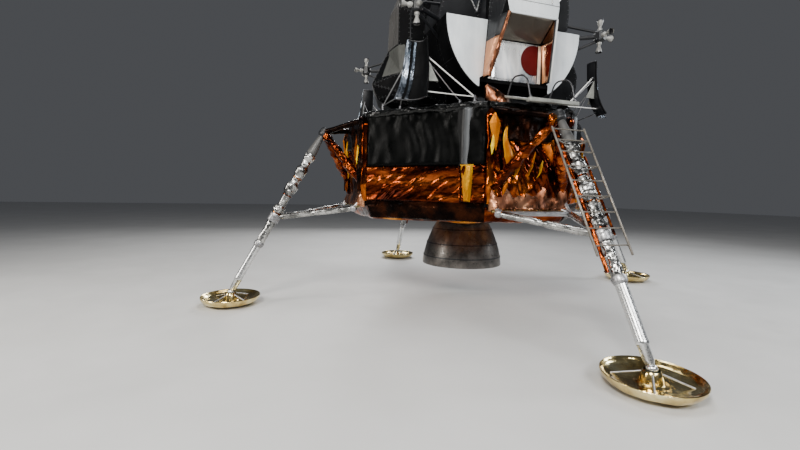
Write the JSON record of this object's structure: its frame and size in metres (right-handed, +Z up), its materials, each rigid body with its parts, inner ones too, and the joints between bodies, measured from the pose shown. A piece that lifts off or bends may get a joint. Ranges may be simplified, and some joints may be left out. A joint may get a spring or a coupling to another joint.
{
  "type": "crewed lunar lander",
  "caption": "Two-stage crewed lunar lander on four legs, with engine, thrusters, ladder, porch, hatches and steerable dishes.",
  "frame": {"origin": "on the ground under the centre of the vehicle, at the middle of the four footpads", "axes": "+Z up, -Y forward (hatch, porch and ladder), +X to the crew's left (port)"},
  "size_m": [9.44, 9.44, 6.98],
  "materials": {
    "black_blanket": "black thermal blanket, satin with soft creases",
    "amber_foil": "crumpled amber film over metal, glossy",
    "silver_foil": "crumpled silver film, glossy",
    "silver_panel": "pale silver-grey skin panels, satin",
    "dark_panel": "dark grey skin panels, satin",
    "polished_metal": "mirror-polished sheet",
    "bare_metal": "bare aluminium, satin",
    "nozzle_metal": "heat-dulled nozzle metal",
    "white_paint": "white thermal paint, satin",
    "window_glass": "dark coated glass"
  },
  "bodies": {
    "lander": {"descent_stage": "black_blanket", "ladder": "bare_metal", "porch": "silver_panel", "crew_cabin": "silver_panel", "front_bulkhead": "silver_panel", "nose_shroud": "silver_panel", "midsection": "black_blanket", "docking_ring": "bare_metal", "aft_bay": "dark_panel", "tank_fairing_port": "dark_panel", "tank_fairing_starboard": "dark_panel", "window_port": "window_glass", "window_starboard": "window_glass", "outrigger_fore": "amber_foil", "primary_strut_fore": "silver_foil", "secondary_struts_fore": "silver_foil", "footpad_fore": "amber_foil", "outrigger_port": "amber_foil", "primary_strut_port": "silver_foil", "secondary_struts_port": "silver_foil", "footpad_port": "amber_foil", "outrigger_aft": "amber_foil", "primary_strut_aft": "silver_foil", "secondary_struts_aft": "silver_foil", "footpad_aft": "amber_foil", "outrigger_starboard": "amber_foil", "primary_strut_starboard": "silver_foil", "secondary_struts_starboard": "silver_foil", "footpad_starboard": "amber_foil", "plume_deflector_fore_port": "black_blanket", "thruster_quad_fore_port": "silver_panel", "plume_deflector_aft_port": "black_blanket", "thruster_quad_aft_port": "silver_panel", "plume_deflector_aft_starboard": "black_blanket", "thruster_quad_aft_starboard": "silver_panel", "plume_deflector_fore_starboard": "black_blanket", "thruster_quad_fore_starboard": "silver_panel"},
    "engine_ring": {"engine_gimbal_ring": "bare_metal"},
    "engine": {"descent_engine": "nozzle_metal"},
    "front_hatch": {"front_hatch": "polished_metal"},
    "overhead_hatch": {"overhead_hatch": "bare_metal"},
    "radar_yoke": {"radar_yoke": "bare_metal"},
    "radar_dish": {"radar_dish": "white_paint"},
    "antenna_yoke": {"antenna_yoke": "bare_metal"},
    "antenna_dish": {"antenna_dish": "white_paint"}
  },
  "joints": [
    {"name": "engine_pitch", "type": "hinge", "parent": "lander", "child": "engine_ring", "pos_m": [0, 0, 2.15], "axis": [1, 0, 0], "range_deg": [-6, 6]},
    {"name": "engine_roll", "type": "hinge", "parent": "engine_ring", "child": "engine", "pos_m": [0, 0, 2.15], "axis": [0, 1, 0], "range_deg": [-6, 6]},
    {"name": "front_hatch_hinge", "type": "hinge", "parent": "lander", "child": "front_hatch", "pos_m": [-0.425, -1.55, 3.95], "axis": [0, 0, 1], "range_deg": [0, 90]},
    {"name": "overhead_hatch_hinge", "type": "hinge", "parent": "lander", "child": "overhead_hatch", "pos_m": [0, 0.545, 5.463], "axis": [1, 0, 0], "range_deg": [0, 85]},
    {"name": "radar_azimuth", "type": "hinge", "parent": "lander", "child": "radar_yoke", "pos_m": [0, -1.2, 5.9], "axis": [0, 0, 1], "range_deg": [-60, 60]},
    {"name": "radar_elevation", "type": "hinge", "parent": "radar_yoke", "child": "radar_dish", "pos_m": [0, -1.2, 6.306], "axis": [1, 0, 0], "range_deg": [-90, 45]},
    {"name": "antenna_azimuth", "type": "hinge", "parent": "lander", "child": "antenna_yoke", "pos_m": [-1.1, -0.1, 5.95], "axis": [0, 0, 1], "range_deg": [-75, 255]},
    {"name": "antenna_elevation", "type": "hinge", "parent": "antenna_yoke", "child": "antenna_dish", "pos_m": [-1.1, -0.1, 6.36], "axis": [1, 0, 0], "range_deg": [-90, 45]}
  ]
}
